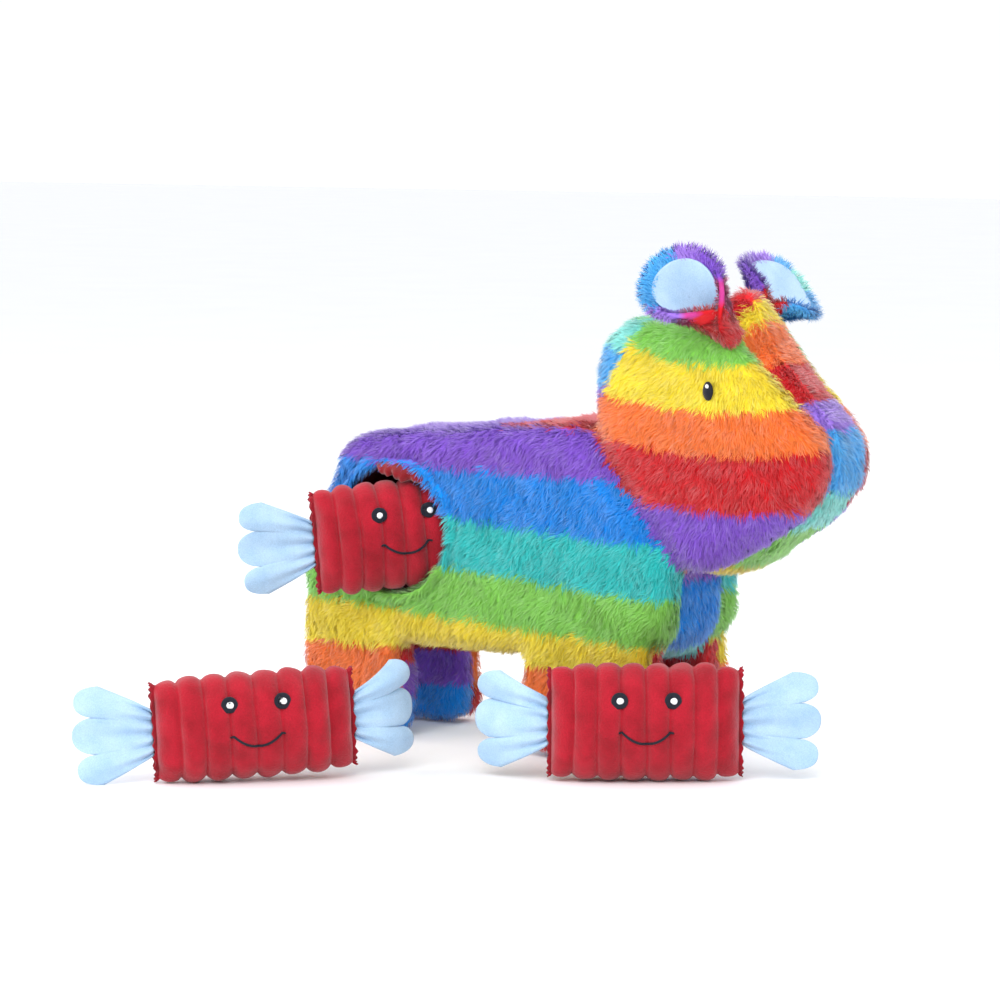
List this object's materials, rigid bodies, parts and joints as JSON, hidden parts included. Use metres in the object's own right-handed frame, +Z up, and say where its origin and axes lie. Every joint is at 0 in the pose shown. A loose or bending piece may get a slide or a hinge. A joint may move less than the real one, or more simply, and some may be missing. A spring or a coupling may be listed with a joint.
{
  "type": "stuffed toy donkey with flank pocket and sweets",
  "caption": "Rainbow plush toy donkey whose flank pocket holds a stuffed corduroy sweet, with further stuffed sweets lying beside it.",
  "frame": {"origin": "on the floor under the middle of the whole set's footprint", "axes": "+X from the donkey's rump to its nose, +Y to the donkey's left, +Z up from the floor"},
  "size_m": [0.3008, 0.3134, 0.2553],
  "materials": {
    "candy_corduroy": "wide-wale corduroy",
    "wrapper_felt": "thin brushed felt",
    "ear_lining_cloth": "smooth short-pile cloth",
    "squeaker_plastic": "matt",
    "reed_plastic": "matt",
    "polyester_stuffing": "loose fibre",
    "white_thread": "embroidery",
    "black_thread": "satin-stitch embroidery",
    "pocket_lining_plush": "short plush",
    "ear_plush": "rainbow long-pile plush",
    "cheek_plush": "rainbow long-pile plush",
    "forehead_plush": "rainbow long-pile plush",
    "nape_plush": "rainbow long-pile plush",
    "flank_plush": "rainbow long-pile plush",
    "inner_leg_plush": "rainbow long-pile plush",
    "rump_plush": "rainbow long-pile plush",
    "belly_plush": "rainbow long-pile plush",
    "chest_plush": "rainbow long-pile plush"
  },
  "bodies": {
    "donkey": {"belly_gusset": "belly_plush", "body_stuffing": "polyester_stuffing", "chest_gusset": "chest_plush", "front_left_inner_leg_panel": "inner_leg_plush", "front_left_leg_stuffing": "polyester_stuffing", "front_right_inner_leg_panel": "inner_leg_plush", "front_right_leg_stuffing": "polyester_stuffing", "head_gusset": "forehead_plush", "head_stuffing": "polyester_stuffing", "left_eye": "black_thread", "left_eye_highlight": "white_thread", "left_head_panel": "cheek_plush", "left_side_panel": "flank_plush", "nape_gusset": "nape_plush", "pocket_lining": "pocket_lining_plush", "rear_left_inner_leg_panel": "inner_leg_plush", "rear_left_leg_stuffing": "polyester_stuffing", "rear_right_inner_leg_panel": "inner_leg_plush", "rear_right_leg_stuffing": "polyester_stuffing", "right_eye": "black_thread", "right_eye_highlight": "white_thread", "right_head_panel": "cheek_plush", "right_side_panel": "flank_plush", "rump_gusset": "rump_plush"},
    "pocket_sweet": {"pocket_sweet_cover": "candy_corduroy", "pocket_sweet_stuffing": "polyester_stuffing", "pocket_sweet_squeaker_bulb": "squeaker_plastic", "pocket_sweet_squeaker_reed": "reed_plastic", "pocket_sweet_face_stitching": "black_thread", "pocket_sweet_eye_highlights": "white_thread"},
    "pocket_sweet_rear_end": {"pocket_sweet_rear_frill": "wrapper_felt"},
    "pocket_sweet_front_end": {"pocket_sweet_front_frill": "wrapper_felt"},
    "front_sweet": {"front_sweet_cover": "candy_corduroy", "front_sweet_stuffing": "polyester_stuffing", "front_sweet_squeaker_bulb": "squeaker_plastic", "front_sweet_squeaker_reed": "reed_plastic", "front_sweet_face_stitching": "black_thread", "front_sweet_eye_highlights": "white_thread"},
    "front_sweet_rear_end": {"front_sweet_rear_frill": "wrapper_felt"},
    "front_sweet_front_end": {"front_sweet_front_frill": "wrapper_felt"},
    "rear_sweet": {"rear_sweet_cover": "candy_corduroy", "rear_sweet_stuffing": "polyester_stuffing", "rear_sweet_squeaker_bulb": "squeaker_plastic", "rear_sweet_squeaker_reed": "reed_plastic", "rear_sweet_face_stitching": "black_thread", "rear_sweet_eye_highlights": "white_thread"},
    "rear_sweet_rear_end": {"rear_sweet_rear_frill": "wrapper_felt"},
    "rear_sweet_front_end": {"rear_sweet_front_frill": "wrapper_felt"},
    "right_ear": {"right_ear_back": "ear_plush", "right_ear_lining": "ear_lining_cloth"},
    "left_ear": {"left_ear_back": "ear_plush", "left_ear_lining": "ear_lining_cloth"}
  },
  "joints": [
    {"name": "right_ear_flop", "type": "hinge", "parent": "donkey", "child": "right_ear", "pos_m": [0.10264, 0.04627, 0.213], "axis": [-0.4185, -0.5574, -0.7171], "range_deg": [-20, 4], "stiffness_Nm_per_rad": 0.02},
    {"name": "left_ear_flop", "type": "hinge", "parent": "donkey", "child": "left_ear", "pos_m": [0.08464, 0.10877, 0.22], "axis": [-0.6633, -0.4213, 0.6185], "range_deg": [-12, 12], "stiffness_Nm_per_rad": 0.02},
    {"name": "pocket_sweet_slide", "type": "slide", "parent": "donkey", "child": "pocket_sweet", "axis": [0.692, 0.7166, 0.0872], "range_m": [-0.1, 0.003]},
    {"name": "front_sweet_lift_off", "type": "slide", "parent": "donkey", "child": "front_sweet", "axis": [0.5592, -0.829, 0], "range_m": [0, 0.08]},
    {"name": "rear_sweet_lift_off", "type": "slide", "parent": "donkey", "child": "rear_sweet", "axis": [0.7071, -0.7071, 0], "range_m": [0, 0.08]},
    {"name": "pocket_sweet_rear_frill_bend", "type": "hinge", "parent": "pocket_sweet", "child": "pocket_sweet_rear_end", "pos_m": [-0.12042, 0.00711, 0.10182], "axis": [-0.0605, -0.0627, 0.9962], "range_deg": [-20, 20], "stiffness_Nm_per_rad": 0.003},
    {"name": "pocket_sweet_front_frill_bend", "type": "hinge", "parent": "pocket_sweet", "child": "pocket_sweet_front_end", "pos_m": [-0.05413, 0.07576, 0.11017], "axis": [-0.0605, -0.0627, 0.9962], "range_deg": [-20, 5], "stiffness_Nm_per_rad": 0.003},
    {"name": "front_sweet_rear_frill_bend", "type": "hinge", "parent": "front_sweet", "child": "front_sweet_rear_end", "pos_m": [0.03527, -0.01513, 0.02856], "axis": [0, 0, 1], "range_deg": [-20, 20], "stiffness_Nm_per_rad": 0.003},
    {"name": "front_sweet_front_frill_bend", "type": "hinge", "parent": "front_sweet", "child": "front_sweet_front_end", "pos_m": [0.11801, 0.04068, 0.02856], "axis": [0, 0, 1], "range_deg": [-20, 20], "stiffness_Nm_per_rad": 0.003},
    {"name": "rear_sweet_rear_frill_bend", "type": "hinge", "parent": "rear_sweet", "child": "rear_sweet_rear_end", "pos_m": [-0.11601, -0.12787, 0.02463], "axis": [-0.037, -0.037, 0.9986], "range_deg": [-20, 20], "stiffness_Nm_per_rad": 0.003},
    {"name": "rear_sweet_front_frill_bend", "type": "hinge", "parent": "rear_sweet", "child": "rear_sweet_front_end", "pos_m": [-0.04271, -0.05458, 0.03007], "axis": [-0.037, -0.037, 0.9986], "range_deg": [-20, 20], "stiffness_Nm_per_rad": 0.003}
  ]
}
